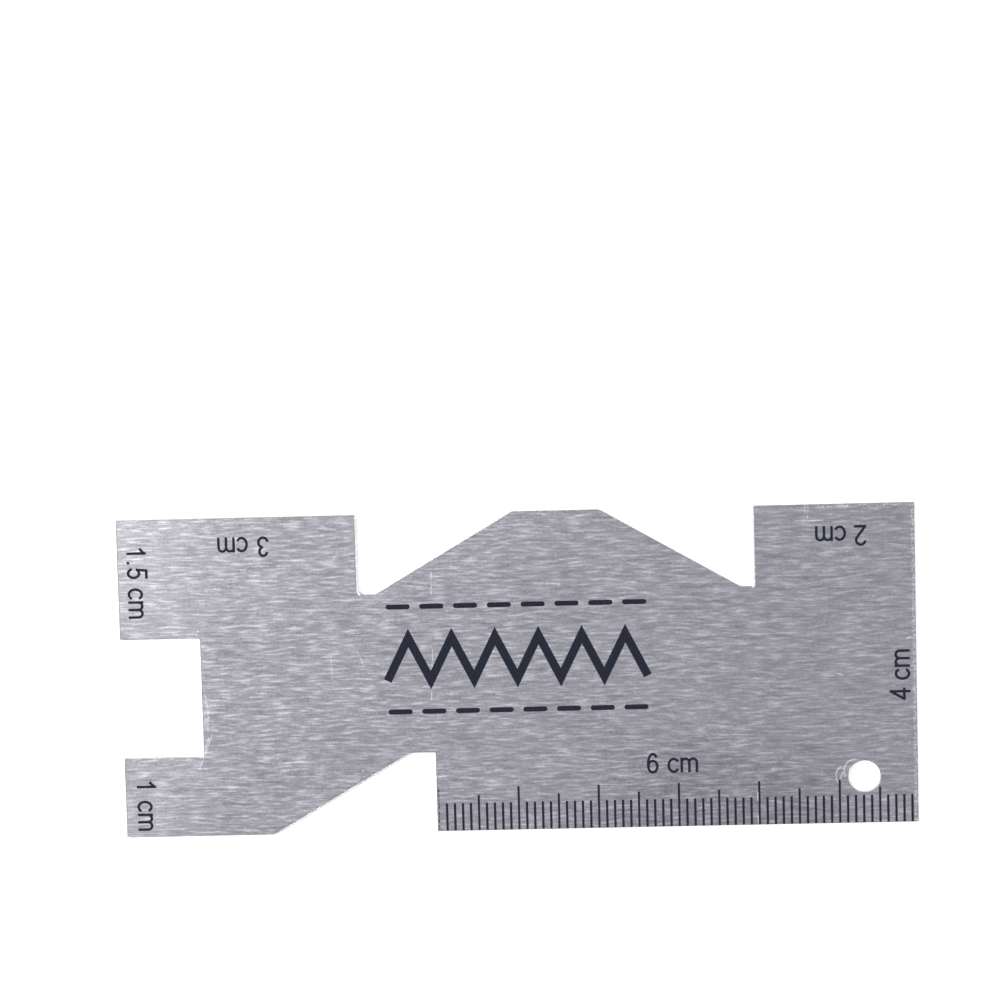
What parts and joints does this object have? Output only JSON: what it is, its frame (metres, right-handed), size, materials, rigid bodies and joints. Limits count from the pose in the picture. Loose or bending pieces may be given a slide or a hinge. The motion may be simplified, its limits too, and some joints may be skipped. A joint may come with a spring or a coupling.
{
  "type": "sewing gauge",
  "caption": "Flat punched-metal sewing gauge with a millimetre ruler edge, an end notch, slanted cuts between measuring tabs and a hanging hole.",
  "frame": {"origin": "centre of the gauge's outline, on its bare back face", "axes": "+X along the ruler edge towards the hanging hole, +Y across from the ruler edge to the edge with the two slanted cuts, +Z out of the printed face"},
  "size_m": [0.099, 0.04, 0.001],
  "materials": {
    "aluminium": "brushed lengthwise",
    "ink": "dark screen-printed ink"
  },
  "bodies": {
    "root": {"gauge_plate": "aluminium", "zero_line": "ink", "millimetre_lines": "ink", "half_centimetre_lines": "ink", "centimetre_lines": "ink", "label_1_cm": "ink", "label_1_5_cm": "ink", "label_2_cm": "ink", "label_3_cm": "ink", "label_4_cm": "ink", "label_6_cm": "ink", "zigzag_stitch": "ink", "running_stitch_upper": "ink", "running_stitch_lower": "ink"}
  },
  "joints": []
}
